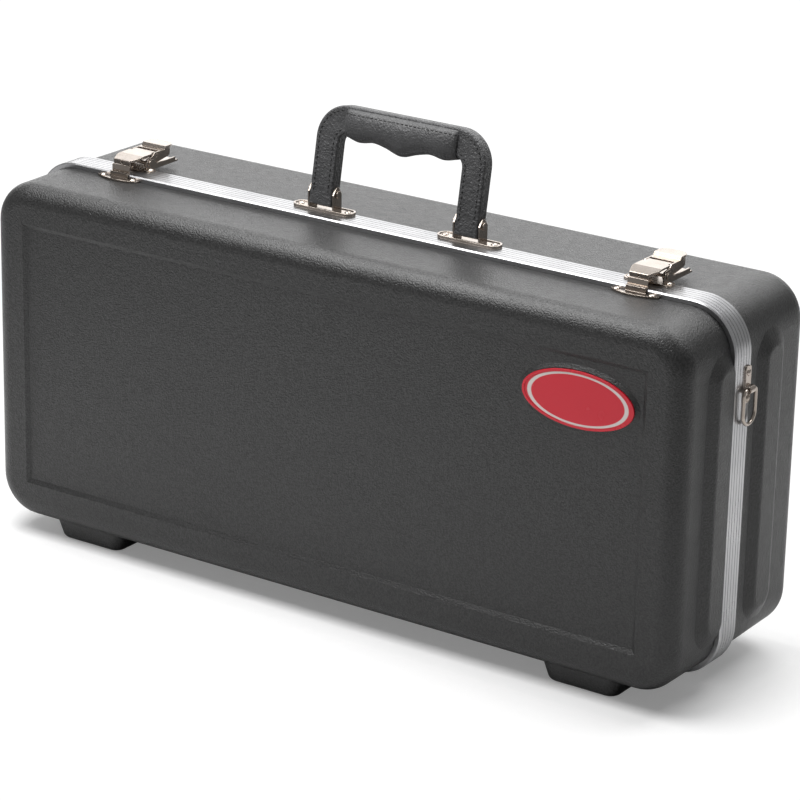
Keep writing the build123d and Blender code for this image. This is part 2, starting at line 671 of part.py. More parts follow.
def bracket():
    """Riveted plate with two pointed ears; its middle is on the frame under the leg's pivot."""
    corner = BRACKET_WIDTH / 2 - EAR_GAP
    pan = RectangleRounded(BRACKET_LENGTH, BRACKET_WIDTH, corner)
    rim = 2 * BRACKET_RIM
    dish = RectangleRounded(BRACKET_LENGTH - rim, BRACKET_WIDTH - rim, corner - BRACKET_RIM)
    plate = extrude(pan, BRACKET_THICK + BRACKET_RIM_RISE)
    plate -= Pos(0, 0, BRACKET_THICK) * extrude(dish, BRACKET_THICK)
    half = EAR_BASE / 2
    tip = PIVOT_RISE + EAR_TIP_RISE
    ear = make_face(Polyline(
        (-half, BRACKET_THICK), (-half, PIVOT_RISE), (-EAR_TIP_HALF, tip), (EAR_TIP_HALF, tip),
        (half, PIVOT_RISE), (half, BRACKET_THICK), close=True,
    ))
    inner = LEG_WIDTH / 2 + EAR_GAP
    for side in (-1, 1):
        faces = (side * inner, side * (inner + EAR_THICK))
        plate += side_sheet(ear, min(faces), max(faces))
    return plate - pin_bore(HANDLE_PIN, 0, PIVOT_RISE)


def hinge_leaf(half):
    """One leaf with its share of the knuckles; `half` is 1 on the body and -1 on the lid."""
    pitch = KNUCKLE_LENGTH + KNUCKLE_GAP
    length = pitch * KNUCKLE_COUNT - KNUCKLE_GAP
    start = KNUCKLE + LEAF_CLEARANCE
    width = LEAF_WIDTH - start
    seat = KNUCKLE_SEAT - PLATE
    leaf = Pos(0, half * (start + width / 2), seat + PLATE / 2) * Box(length, width, PLATE)
    for index in range(KNUCKLE_COUNT):
        if (index % 2 == 0) != (half == 1):
            continue
        x = (index - (KNUCKLE_COUNT - 1) / 2) * pitch
        leaf += Pos(x, 0, 0) * Cylinder(KNUCKLE, KNUCKLE_LENGTH, rotation=(0, 90, 0))
        leaf += Pos(x, half * start / 2, seat + PLATE / 2) * Box(KNUCKLE_LENGTH, start, PLATE)
    return leaf - Cylinder(HINGE_PIN + PIN_FIT, 2 * length, rotation=(0, 90, 0))


def ring_plate():
    """Riveted plate with a raised eye round the ring's bar, drawn with +Z outwards."""
    length = RING_PLATE_UP + RING_PLATE_DOWN
    middle = (RING_PLATE_UP - RING_PLATE_DOWN) / 2
    plate = extrude(Pos(0, middle) * RectangleRounded(RING_PLATE_WIDTH, length, RING_PLATE_WIDTH / 3), PLATE)
    bore = RING_WIRE + EYE_FIT
    plate += Pos(0, 0, PLATE + bore) * Cylinder(bore + EYE_WALL, EYE_WIDTH, rotation=(0, 90, 0))
    plate &= Pos(0, 0, RING_LENGTH / 2) * Box(RING_LENGTH, 2 * RING_LENGTH, RING_LENGTH)
    return plate - Pos(0, 0, PLATE + bore) * Cylinder(bore, 2 * RING_WIDTH, rotation=(0, 90, 0))


def carry_ring():
    """Wire ring hanging from its straight bar."""
    half = RING_WIDTH / 2
    bar_z = PLATE + RING_WIRE + EYE_FIT
    path = FilletPolyline(
        (-half, 0), (half, 0), (half, -RING_LENGTH), (-half, -RING_LENGTH),
        radius=(RING_CORNER, RING_CORNER, RING_TIP, RING_TIP), close=True,
    )
    start = Plane(origin=path @ 0, z_dir=path % 0) * Circle(RING_WIRE)
    return Pos(0, 0, bar_z) * sweep(start, path=path)


def build_halves(parts):
    room = trumpet_room()
    parts["lid_shell"] = place(formed_shell(LID_DEPTH, LID_RIB_EDGE) + badge_pad(), LID_FRAME)
    parts["body_shell"] = place(formed_shell(BODY_DEPTH, BODY_RIB_EDGE), BODY_FRAME)
    parts["lid_badge"] = place(badge(), LID_FRAME)
    parts["lid_frame"] = place(frame_half(False), LID_FRAME)
    parts["body_frame"] = place(frame_half(True), BODY_FRAME)
    parts["lid_lining"] = place(lining(LID_DEPTH), LID_FRAME) - room
    parts["body_lining"] = place(lining(BODY_DEPTH), BODY_FRAME) - room - accessory_rooms()


def build_latches(parts):
    pin_half = BASE_HALF
    for name, side in SIDES.items():
        spot = Pos(side * LATCH_X, PART_Y, FRAME_TOP_Z)
        lever_pin = headed_pin(PIVOT_PIN, pin_half, PIN_HEAD, PIN_HEAD_THICK)
        claw_pin = Cylinder(PIVOT_PIN, 2 * CHEEK_OUTER, rotation=(0, 90, 0))
        parts[f"latch_base_{name}"] = drilled(spot * latch_base(), latch_spots(side))
        parts[f"latch_lever_{name}"] = spot * latch_lever()
        parts[f"latch_claw_{name}"] = spot * latch_claw()
        parts[f"lever_pin_{name}"] = spot * Pos(0, LEVER_PIVOT_Y, LEVER_PIVOT_Z) * lever_pin
        parts[f"claw_pin_{name}"] = spot * Pos(0, CLAW_PIVOT_Y, CLAW_PIVOT_Z) * claw_pin
        parts[f"latch_keeper_{name}"] = drilled(spot * latch_keeper(), keeper_spots(side))


def build_handle(parts):
    core = handle_core()
    cover = handle_cover(core)
    parts["handle_cover"] = handle_place(cover)
    parts["handle_core"] = handle_place(core - handle_bore())
    parts["handle_grip"] = handle_place(handle_grip(core, cover))
    pin = headed_pin(HANDLE_PIN, LEG_WIDTH / 2 + EAR_GAP + EAR_THICK, HANDLE_PIN_HEAD, EAR_THICK)
    for name, side in SIDES.items():
        spot = Pos(HANDLE_X + side * LEG_SPACING / 2, PART_Y + BRACKET_Y, FRAME_TOP_Z)
        parts[f"handle_bracket_{name}"] = drilled(spot * bracket(), bracket_spots(side))
        parts[f"handle_pin_{name}"] = spot * Pos(0, 0, PIVOT_RISE) * pin


def build_hinges(parts):
    length = (KNUCKLE_LENGTH + KNUCKLE_GAP) * KNUCKLE_COUNT - KNUCKLE_GAP
    pin = headed_pin(HINGE_PIN, length / 2, KNUCKLE, PLATE)
    for name, side in SIDES.items():
        spot = Pos(side * HINGE_X, PART_Y, HINGE_Z)
        parts[f"hinge_body_leaf_{name}"] = drilled(spot * hinge_leaf(1), hinge_spots(side, 1))
        parts[f"hinge_lid_leaf_{name}"] = drilled(spot * hinge_leaf(-1), hinge_spots(side, -1))
        parts[f"hinge_pin_{name}"] = spot * pin


def build_rings(parts):
    for name, side in SIDES.items():
        plane = ring_plane(side)
        parts[f"ring_plate_{name}"] = drilled(place(ring_plate(), plane), ring_spots(side))
        parts[f"carry_ring_{name}"] = place(carry_ring(), plane)


def build_rivets(parts):
    """Rivets, one node for each kind, and their holes in the frame and the lid shell."""
    both = SIDES.values()
    spots = {
        "latch_rivets": ([spot for side in both for spot in latch_spots(side)], PLATE),
        "bracket_rivets": ([spot for side in both for spot in bracket_spots(side)], BRACKET_THICK),
        "ring_plate_rivets": ([spot for side in both for spot in ring_spots(side)], PLATE),
        "hinge_body_rivets": ([spot for side in both for spot in hinge_spots(side, 1)], PLATE),
        "hinge_lid_rivets": ([spot for side in both for spot in hinge_spots(side, -1)], PLATE),
        "keeper_rivets": ([spot for side in both for spot in keeper_spots(side)], PLATE),
    }
    carriers = {"hinge_lid_rivets": "lid_frame", "keeper_rivets": "lid_shell"}
    for name, (places, thick) in spots.items():
        carrier = carriers.get(name, "body_frame")
        parts[carrier] = drilled(parts[carrier], places)
        parts[name] = Compound(children=fastened(places, thick))


def main():
    parts = {}
    build_halves(parts)
    build_latches(parts)
    build_handle(parts)
    build_hinges(parts)
    build_rings(parts)
    build_rivets(parts)
    os.makedirs("parts", exist_ok=True)
    for name, shape in parts.items():
        export_step(shape, f"parts/{name}.step")


main()
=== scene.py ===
import json
import math

import bmesh
import bpy
from mathutils import Matrix, Vector
from mathutils.bvhtree import BVHTree


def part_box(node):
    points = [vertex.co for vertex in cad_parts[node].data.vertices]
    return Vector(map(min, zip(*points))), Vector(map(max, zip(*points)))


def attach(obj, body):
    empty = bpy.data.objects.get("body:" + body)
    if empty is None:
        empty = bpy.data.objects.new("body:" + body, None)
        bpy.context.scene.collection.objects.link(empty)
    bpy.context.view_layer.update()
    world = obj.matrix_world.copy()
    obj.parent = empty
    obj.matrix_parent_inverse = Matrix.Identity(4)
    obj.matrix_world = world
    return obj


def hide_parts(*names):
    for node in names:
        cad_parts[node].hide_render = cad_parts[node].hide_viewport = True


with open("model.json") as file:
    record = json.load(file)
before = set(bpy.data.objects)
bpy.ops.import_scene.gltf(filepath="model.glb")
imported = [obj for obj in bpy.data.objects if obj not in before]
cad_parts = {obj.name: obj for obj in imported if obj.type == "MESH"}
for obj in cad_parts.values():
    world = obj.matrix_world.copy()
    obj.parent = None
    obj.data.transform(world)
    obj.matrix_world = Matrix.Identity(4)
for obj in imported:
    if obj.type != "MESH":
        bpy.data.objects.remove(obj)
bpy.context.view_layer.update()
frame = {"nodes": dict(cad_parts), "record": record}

MM = 0.001
NODES = frame["nodes"]
SCENE = bpy.context.scene

# Lengths are in millimetres, unless a comment says otherwise.

# The handle in its own plane: x from its middle, y up the legs from the pivots
LEG_SPACING = 113.4
LEG_WIDTH = 17.4
HANDLE_THICK = 10.0
HANDLE_RISE = 59.3
HANDLE_CORNER = 23.0
INNER_CORNER = 8.0
HANDLE_LEAN = math.radians(10)
PIVOT_PLACE = (12.3, -7.1, 268.5)

# The padded grip round the handle's top band
GRIP_HALF = 44.0
GRIP_TOP = 0.7                # below the top of the handle
GRIP_STATIONS = 45
GRIP_BULGE = 10.2
GRIP_END_BULGE = 6.6
GRIP_FILLS_OUT = 9            # from each end to the full bulge
GRIP_LIP = 5.2                # half thickness where the end turns in on the band
GRIP_LIP_INSET = 0.5          # from the grip's end
GRIP_LIP_DROP = 0.4           # from its top
GRIP_LIP_RISE = 2.4           # how much less deep than the grip's end
# How deep the grip is from end to end, with the finger waves
GRIP_DEPTHS = (20.4, 22.8, 21.4, 23.4, 26.4, 23.4, 21.4, 22.8, 20.4)
# One side of its section from the top down, as shares of the bulge and of the depth
GRIP_SIDE = (
    (0.62, 0.0), (0.80, 0.10), (0.95, 0.30), (1.0, 0.52), (0.94, 0.74), (0.66, 0.92), (0.24, 1.0),
)

# Padding: how far the skin is drawn in, and how far it may then swell out again
GRIP_DRAWN_IN = 0.4
GRIP_SWELL = 0.6
LINING_DRAWN_IN = 2.6
LINING_SWELL = 2.2
LINING_VOXEL = 6
SWELL_FRAMES = 20
SWELL_QUALITY = 5
SWELL_PRESSURE = 4

# Stitching
STITCH_PITCH = 3.3
STITCH_LENGTH = 2.3
STITCH_RADIUS = 0.45
STITCH_SIDES = 10
STITCH_RINGS = 8
LEG_ROW_INSET = 3.0           # from the edges of the legs
LEG_ROW_START = 1.6           # above the pivots
OUTER_SWEEP = 78              # degrees that the rows follow the handle's bends, outside and inside
INNER_SWEEP = 52
BEND_STEPS = 12
GRIP_ROW_DROP = 4.6           # below the top of the handle
GRIP_ROW_INSET = 2.5          # from the grip's ends
GRIP_ROW_STEPS = 40
CLEAR_OF_GRIP = 30            # from the handle's plane

# Linings
PART_Y = -13.5                # parting plane
MID_Z = 133.0
LINING_GAP = 0.3              # from the parting plane to each rim
LINING_LENGTH = 525.9         # at the rim
LINING_HEIGHT = 225.9
LINING_CORNER = 21.9
CORNER_STEPS = 8
WELT_RADIUS = 1.5
WELT_RINGS = 3

# Rounding of the pressed nickel edges, in the shading only
NICKEL_EDGE = 0.5

# The badge's pale line, as shares of the way from the middle to the oval edge
LINE_INSIDE = (0.825, 0.84)
LINE_OUTSIDE = (0.895, 0.91)

# The photograph's camera: azimuth, elevation and roll in degrees, its place in metres and its lens
CAMERA_TURN = (33.782, 19.953, 1.275)
CAMERA_PLACE = (1.19143, -1.76066, 0.90359)
CAMERA_LENS = 153.78
CAMERA_SENSOR = 36
CAMERA_CLIP = (0.05, 50)      # metres

# The floor, in metres: half its side, half of what the case covers, and the fade out round that
FLOOR_HALF = 6
FOOTPRINT = (0.27, 0.08, 0)
FLOOR_FADE = (0.005, 0.085)
# White added to it where the camera sees it, as on a cut-out photograph
FLOOR_LIFT = 0.22

# The world's strength, and what each kind of ray adds to it
WORLD_STRENGTH = 0.08
WORLD_RAYS = (("Is Camera Ray", 1), ("Is Glossy Ray", 0.25), ("Is Transmission Ray", 1))

# Each lamp's place, target and size in metres, and its power in watts
LAMPS = {
    "front_softbox": ((-0.22, -0.22, 0.85), (-0.18, -0.22, 0.0), (0.8, 0.7), 11),
    "overhead_softbox": ((0.35, 1.0, 1.9), (0.35, 0.6, 0.0), (1.6, 1.2), 30),
    "back_panel": ((-1.7, 2.7, 1.2), (0, 0, 0.2), (4.6, 1.7), 45),
}


# Nodes
def feed(tree, node, inputs):
    """Gives a node's inputs their values; a value that is a socket is linked."""
    for key, value in inputs.items():
        if isinstance(value, bpy.types.NodeSocket):
            tree.links.new(value, node.inputs[key])
        else:
            node.inputs[key].default_value = value


def spaced(named):
    """Python names made the inputs' own, which have spaces."""
    return {key.replace("_", " "): value for key, value in named.items()}


def add_node(tree, kind, *values, out=0, **named):
    """Adds a node and returns one of its outputs.

    The values go to its first inputs in order. Of the named ones, those with a capital are inputs,
    and the others are settings.
    """
    node = tree.nodes.new(kind)
    inputs = {}
    for name, value in named.items():
        if name[0].isupper():
            inputs[name] = value
        else:
            setattr(node, name, value)
    feed(tree, node, dict(enumerate(values)))
    feed(tree, node, spaced(inputs))
    return node.outputs[out]


def hexlin(code):
    """Linear RGBA of an sRGB hex colour."""
    out = []
    for i in (0, 2, 4):
        c = int(code[i:i + 2], 16) / 255
        out.append(c / 12.92 if c <= 0.04045 else ((c + 0.055) / 1.055) ** 2.4)
    return (*out, 1.0)


def per_mm(size):
    """A pattern's scale, from the size of its grain."""
    return 1 / (size * MM)


class Finish:
    """A principled material, with patterns that lie on the object in real sizes."""

    def __init__(self, name, colour, **sockets):
        self.mat = bpy.data.materials.new(name)
        self.mat.use_nodes = True
        self.tree = self.mat.node_tree
        self.place = self.add("ShaderNodeTexCoord", out="Object")
        self.wear(Base_Color=hexlin(colour), **sockets)

    def add(self, kind, *values, **named):
        return add_node(self.tree, kind, *values, **named)

    def wear(self, **sockets):
        """Sets the shader's own sockets."""
        feed(self.tree, self.tree.nodes["Principled BSDF"], spaced(sockets))

    def between(self, pattern, low, high, dark, light):
        """Runs from one colour to the other as a pattern goes from low to high."""
        share = self.add("ShaderNodeMapRange", pattern, low, high, 0, 1)
        return self.add("ShaderNodeMix", Factor=share, A=hexlin(dark), B=hexlin(light),
                        data_type="RGBA", out="Result")


# Materials. A pixel of the photograph is about 0.7 mm on the case.
def abs_grain():
    """Vacuum-formed ABS: black, with a pebble grain that breaks the soft light into fine specks.

    Finer grain doesn't show from the camera, so it is drawn as coarse as 1.1 mm.
    """
    s = Finish("vacuum_formed_abs_pebble_grain", "1a1a1a", Roughness=0.38, Specular_IOR_Level=0.55)
    pebbles = s.add("ShaderNodeTexNoise", Vector=s.place, Scale=per_mm(1.1), Detail=2, Roughness=0.6)
    clouds = s.add("ShaderNodeTexNoise", Vector=s.place, Scale=per_mm(7), Detail=3, Roughness=0.55)
    pits = s.add("ShaderNodeTexVoronoi", Vector=s.place, Scale=per_mm(1.0), Smoothness=0.6,
                 feature="SMOOTH_F1")
    raised = s.add("ShaderNodeBump", Height=pebbles, Distance=0.55 * MM, Strength=0.8)
    s.wear(
        Base_Color=s.between(pebbles, 0.36, 0.64, "050505", "2b2b2b"),
        Roughness=s.add("ShaderNodeMapRange", clouds, 0.3, 0.7, 0.34, 0.42),
        Normal=s.add("ShaderNodeBump", Height=pits, Distance=0.15 * MM, Strength=0.7, Normal=raised),
    )
    return s.mat


def satin_aluminium():
    """Extruded aluminium, satin anodised: even, blurred reflections that drift slowly in tone."""
    s = Finish("satin_anodised_aluminium_extrusion", "b0b0b2", Roughness=0.3, Metallic=1)
    tone = s.add("ShaderNodeTexNoise", Vector=s.place, Scale=per_mm(40), Detail=2, Roughness=0.55)
    haze = s.add("ShaderNodeTexNoise", Vector=s.place, Scale=per_mm(25), Detail=2, Roughness=0.55)
    s.wear(
        Base_Color=s.between(tone, 0.3, 0.7, "ababad", "b6b6b7"),
        Roughness=s.add("ShaderNodeMapRange", haze, 0.3, 0.7, 0.26, 0.34),
    )
    return s.mat


def nickel():
    """Pressed steel, bright nickel plated: warm, near mirror reflections, clouded as by handling."""
    s = Finish("bright_nickel_plated_steel", "aca298", Roughness=0.2, Metallic=1)
    handled = s.add("ShaderNodeTexNoise", Vector=s.place, Scale=per_mm(8), Detail=3, Roughness=0.55)
    tone = s.add("ShaderNodeTexNoise", Vector=s.place, Scale=per_mm(14), Detail=2, Roughness=0.55)
    waves = s.add("ShaderNodeTexNoise", Vector=s.place, Scale=per_mm(3.5), Detail=1, Roughness=0.55)
    edges = s.add("ShaderNodeBevel", Radius=NICKEL_EDGE * MM)
    s.wear(
        Base_Color=s.between(tone, 0.35, 0.7, "a69c92", "b2a8a0"),
        Roughness=s.add("ShaderNodeMapRange", handled, 0.3, 0.75, 0.15, 0.26),
        Normal=s.add("ShaderNodeBump", Height=waves, Distance=0.02 * MM, Strength=0.3, Normal=edges),
    )
    return s.mat


def leatherette(name, dark, light, grain):
    """Embossed vinyl cloth: dark grey, in cells 2 mm wide that are duller along their creases."""
    s = Finish(name, dark, Roughness=0.5, Sheen_Weight=0.05, Sheen_Roughness=0.4)
    tone = s.add("ShaderNodeTexNoise", Vector=s.place, Scale=per_mm(7), Detail=3, Roughness=0.55)
    cells = s.add("ShaderNodeTexVoronoi", Vector=s.place, Scale=per_mm(2.0), feature="DISTANCE_TO_EDGE")
    lumps = s.add("ShaderNodeTexNoise", Vector=s.place, Scale=per_mm(2.4), Detail=2, Roughness=0.5)
    creases = s.add("ShaderNodeMapRange", cells, 0, 0.3, 0, 1)
    raised = s.add("ShaderNodeBump", Height=lumps, Distance=4 * grain * MM, Strength=0.8)
    s.wear(
        Base_Color=s.between(tone, 0.3, 0.7, dark, light),
        Roughness=s.add("ShaderNodeMapRange", cells, 0, 0.35, 0.56, 0.38),
        Normal=s.add("ShaderNodeBump", Height=creases, Distance=grain * MM, Strength=0.7, Normal=raised),
    )
    return s.mat


def plush():
    """Short brushed pile: takes the light in, with a soft sheen where it turns away."""
    s = Finish("short_black_plush_pile", "161618", Roughness=0.95, Sheen_Weight=0.35, Sheen_Roughness=0.5)
    shade = s.add("ShaderNodeTexNoise", Vector=s.place, Scale=per_mm(14), Detail=4, Roughness=0.55)
    tufts = s.add("ShaderNodeTexNoise", Vector=s.place, Scale=per_mm(0.9), Detail=2, Roughness=0.55)
    strokes = s.add("ShaderNodeTexNoise", Vector=s.place, Scale=per_mm(9), Detail=3, Roughness=0.55)
    raised = s.add("ShaderNodeBump", Height=tufts, Distance=0.5 * MM, Strength=0.7)
    s.wear(
        Base_Color=s.between(shade, 0.3, 0.7, "111113", "232327"),
        Normal=s.add("ShaderNodeBump", Height=strokes, Distance=0.8 * MM, Strength=0.35, Normal=raised),
    )
    return s.mat


def steel_strip():
    """Plain rolled strip: dull grey, with its rolling lines along the handle."""
    s = Finish("plain_steel_strip", "8a8a8c", Roughness=0.35, Metallic=1)
    drawn_out = s.add("ShaderNodeMapping", Vector=s.place, Scale=(0.05, 3, 3))
    lines = s.add("ShaderNodeTexNoise", Vector=drawn_out, Scale=per_mm(1), Detail=3, Roughness=0.7)
    s.wear(Roughness=s.add("ShaderNodeMapRange", lines, 0.3, 0.7, 0.3, 0.5))
    return s.mat


def thread():
    """Bonded nylon thread: black and slightly glossy. Its twist shows only from close by."""
    s = Finish("bonded_black_nylon_thread", "0c0c0d", Roughness=0.45)
    tone = s.add("ShaderNodeTexNoise", Vector=s.place, Scale=per_mm(2), Detail=2, Roughness=0.55)
    pressed = s.add("ShaderNodeMapping", Vector=s.place, Scale=(1, 1, 3))
    twist = s.add("ShaderNodeTexNoise", Vector=pressed, Scale=per_mm(0.3), Detail=2, Roughness=0.5)
    s.wear(
        Base_Color=s.between(tone, 0.3, 0.7, "090909", "131314"),
        Normal=s.add("ShaderNodeBump", Height=twist, Distance=0.03 * MM, Strength=0.5),
    )
    return s.mat


def enamel(node):
    """Poured red enamel: glossy and slightly uneven, with a plain pale line set in from the oval edge."""
    s = Finish("poured_red_enamel", "cc2032", Roughness=0.3, Specular_IOR_Level=0.35)
    low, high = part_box(node)
    size = [h - l for l, h in zip(low, high)]
    middle = [(l + h) / 2 for l, h in zip(low, high)]
    spread = (2 / size[0], 0, 2 / size[2])
    centred = (-middle[0] * spread[0], 0, -middle[2] * spread[2])
    oval = s.add("ShaderNodeMapping", Vector=s.place, Location=centred, Scale=spread)
    across = s.add("ShaderNodeVectorMath", oval, operation="LENGTH", out="Value")
    inside = s.add("ShaderNodeMapRange", across, *LINE_INSIDE, 0, 1)
    outside = s.add("ShaderNodeMapRange", across, *LINE_OUTSIDE, 1, 0)
    line = s.add("ShaderNodeMath", inside, outside, operation="MULTIPLY")
    haze = s.add("ShaderNodeTexNoise", Vector=s.place, Scale=per_mm(12), Detail=2, Roughness=0.55)
    ripple = s.add("ShaderNodeTexNoise", Vector=s.place, Scale=per_mm(1.5), Detail=1, Roughness=0.55)
    s.wear(
        Base_Color=s.between(line, 0, 1, "cc2032", "d9cfcc"),
        Roughness=s.add("ShaderNodeMapRange", haze, 0.3, 0.7, 0.2, 0.28),
        Normal=s.add("ShaderNodeBump", Height=ripple, Distance=0.006 * MM, Strength=0.2),
    )
    return s.mat


MATERIALS = {
    "black_abs": abs_grain(),
    "satin_aluminium": satin_aluminium(),
    "nickel_plate": nickel(),
    "steel_core": steel_strip(),
    "covered_leatherette": leatherette("grained_leatherette_cover", "363637", "444445", 0.26),
    "padded_leatherette": leatherette("grained_leatherette_padded", "343435", "404041", 0.16),
    "lining_plush": plush(),
    "badge_enamel": enamel("lid_badge"),
}
THREAD = thread()


def dress_nodes():
    for part in frame["record"]["subparts"]:
        mesh = NODES[part["node"]].data
        mesh.materials.clear()
        mesh.materials.append(MATERIALS[part["material_slot"]])


# Meshes
def evaluated_mesh(piece):
    """A plain mesh, smoothly shaded, of what a piece's curve or modifiers make."""
    depsgraph = bpy.context.evaluated_depsgraph_get()
    mesh = bpy.data.meshes.new_from_object(piece.evaluated_get(depsgraph))
    for face in mesh.polygons:
        face.use_smooth = True
    return mesh


def new_piece(name, mesh, material, body):
    piece = bpy.data.objects.new(name, mesh)
    mesh.materials.clear()
    mesh.materials.append(material)
    SCENE.collection.objects.link(piece)
    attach(piece, body)
    return piece


def curve_piece(name, curve, material, body, modify=None):
    """A piece from a curve; `modify` gives the curve its modifiers first."""
    maker = bpy.data.objects.new(name + "_maker", curve)
    SCENE.collection.objects.link(maker)
    if modify:
        modify(maker)
    mesh = evaluated_mesh(maker)
    bpy.data.objects.remove(maker)
    return new_piece(name, mesh, material, body)


def bake(piece):
    """Replaces a piece's mesh with what its modifiers make of it."""
    mesh = evaluated_mesh(piece)
    piece.modifiers.clear()
    piece.data = mesh


def remesh(piece, voxel):
    modifier = piece.modifiers.new("voxels", "REMESH")
    modifier.mode = "VOXEL"
    modifier.voxel_size = voxel * MM
    bake(piece)


def subdivide(piece):
    modifier = piece.modifiers.new("smooth", "SUBSURF")
    modifier.levels = 1
    modifier.render_levels = 1
    bake(piece)


def draw_in(piece, depth):
    """Moves the skin inwards, to leave room for the padding to swell."""
    vertices = piece.data.vertices
    moves = [v.normal.copy() * depth * MM for v in vertices]
    for vertex, move in zip(vertices, moves):
        vertex.co -= move


def swell(caps):
    """Inflates padded pieces as cloth, all at once; no point moves further than its piece's cap."""
    rests = {}
    for piece in caps:
        rests[piece] = [v.co.copy() for v in piece.data.vertices]
        cloth = piece.modifiers.new("padding", "CLOTH")
        cloth.settings.quality = SWELL_QUALITY
        cloth.settings.use_pressure = True
        cloth.settings.uniform_pressure_force = SWELL_PRESSURE
        cloth.settings.effector_weights.gravity = 0
        cloth.point_cache.frame_start = 1
        cloth.point_cache.frame_end = SWELL_FRAMES
    for step in range(1, SWELL_FRAMES + 1):
        SCENE.frame_set(step)
    for piece, cap in caps.items():
        bake(piece)
        for vertex, rest in zip(piece.data.vertices, rests[piece]):
            move = vertex.co - rest
            if move.length > cap * MM:
                vertex.co = rest + move.normalized() * cap * MM
    SCENE.frame_set(1)


def polyline(name, rows):
    curve = bpy.data.curves.new(name, "CURVE")
    curve.dimensions = "3D"
    for row in rows:
        spline = curve.splines.new("POLY")
        spline.points.add(len(row) - 1)
        for point, place in zip(spline.points, row):
            point.co = (*place, 1)
    return curve


# The handle's grip
PIVOT = Vector(PIVOT_PLACE) * MM
UP_HANDLE = Vector((0, math.sin(HANDLE_LEAN), math.cos(HANDLE_LEAN)))
OUT_HANDLE = Vector((0, -math.cos(HANDLE_LEAN), math.sin(HANDLE_LEAN)))


def on_handle(x, y, out):
    """A point by its place in the handle's plane and its distance out of it."""
    return PIVOT + (Vector((x, 0, 0)) + UP_HANDLE * y + OUT_HANDLE * out) * MM


def eased(values, place):
    """A smooth curve through evenly spaced values; place runs from 0 to 1."""
    at = place * (len(values) - 1)
    index = min(int(at), len(values) - 2)
    t = at - index
    before = values[max(index - 1, 0)]
    a = values[index]
    b = values[index + 1]
    after = values[min(index + 2, len(values) - 1)]
    rise_a = (b - before) / 2
    rise_b = (after - a) / 2
    return (
        a * (2 * t ** 3 - 3 * t ** 2 + 1) + b * (3 * t ** 2 - 2 * t ** 3)
        + rise_a * (t ** 3 - 2 * t ** 2 + t) + rise_b * (t ** 3 - t ** 2)
    )


def grip_ring(x, depth, bulge, top):
    """One section across the grip: a narrow top, a full belly and a rounded underside."""
    right = [(bulge * w, top - depth * d) for w, d in GRIP_SIDE]
    left = [(-w, y) for w, y in reversed(right)]
    return [on_handle(x, y, w) for w, y in right + left]


def padded_grip():
    mesh = bpy.data.meshes.new("handle_grip_padding")
    bm = bmesh.new()
    top = HANDLE_RISE - GRIP_TOP
    rings = []
    for index in range(GRIP_STATIONS):
        place = index / (GRIP_STATIONS - 1)
        x = GRIP_HALF * (2 * place - 1)
        from_end = GRIP_HALF - abs(x)
        full = min(1, from_end / GRIP_FILLS_OUT) ** 0.5
        bulge = GRIP_END_BULGE + (GRIP_BULGE - GRIP_END_BULGE) * full
        rings.append((x, eased(GRIP_DEPTHS, place), bulge, top))
    lip_x = GRIP_HALF - GRIP_LIP_INSET
    lip_depth = GRIP_DEPTHS[0] - GRIP_LIP_RISE
    for side, at in ((-1, 0), (1, len(rings) + 1)):
        rings.insert(at, (side * lip_x, lip_depth, GRIP_LIP, top - GRIP_LIP_DROP))
    loops = [[bm.verts.new(p) for p in grip_ring(*ring)] for ring in rings]
    for a, b in zip(loops, loops[1:]):
        for i in range(len(a)):
            j = (i + 1) % len(a)
            bm.faces.new((a[i], a[j], b[j], b[i]))
    bm.faces.new(reversed(loops[0]))
    bm.faces.new(loops[-1])
    bmesh.ops.recalc_face_normals(bm, faces=bm.faces)
    bm.to_mesh(mesh)
    bm.free()
    cover = MATERIALS["padded_leatherette"]
    piece = new_piece("handle_grip_padding", mesh, cover, "handle")
    subdivide(piece)
    draw_in(piece, GRIP_DRAWN_IN)
    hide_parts("handle_grip")
    return piece


# Stitching
def stitch_rows_tree():
    """Geometry nodes: a stitch at even steps along each curve, turned along it."""
    tree = bpy.data.node_groups.new("stitch_rows", "GeometryNodeTree")
    tree.interface.new_socket("Rows", in_out="INPUT", socket_type="NodeSocketGeometry")
    for size in ("Pitch", "Length", "Radius"):
        tree.interface.new_socket(size, in_out="INPUT", socket_type="NodeSocketFloat")
    tree.interface.new_socket("Stitches", in_out="OUTPUT", socket_type="NodeSocketGeometry")
    given = tree.nodes.new("NodeGroupInput").outputs
    points = add_node(tree, "GeometryNodeResampleCurve", Curve=given["Rows"], Length=given["Pitch"],
                      mode="LENGTH")
    along = add_node(tree, "GeometryNodeInputTangent")
    turn = add_node(tree, "FunctionNodeAlignRotationToVector", Vector=along, axis="Z")
    ball = add_node(tree, "GeometryNodeMeshUVSphere", STITCH_SIDES, STITCH_RINGS, given["Radius"])
    width = add_node(tree, "ShaderNodeMath", given["Radius"], 2, operation="MULTIPLY")
    stretch = add_node(tree, "ShaderNodeMath", given["Length"], width, operation="DIVIDE")
    drawn_out = add_node(tree, "ShaderNodeCombineXYZ", 1, 1, stretch)
    stitch = add_node(tree, "GeometryNodeTransform", Geometry=ball, Scale=drawn_out)
    row = add_node(tree, "GeometryNodeInstanceOnPoints", Points=points, Instance=stitch, Rotation=turn)
    real = add_node(tree, "GeometryNodeRealizeInstances", row)
    dressed = add_node(tree, "GeometryNodeSetMaterial", Geometry=real, Material=THREAD)
    tree.links.new(dressed, tree.nodes.new("NodeGroupOutput").inputs["Stitches"])
    return tree


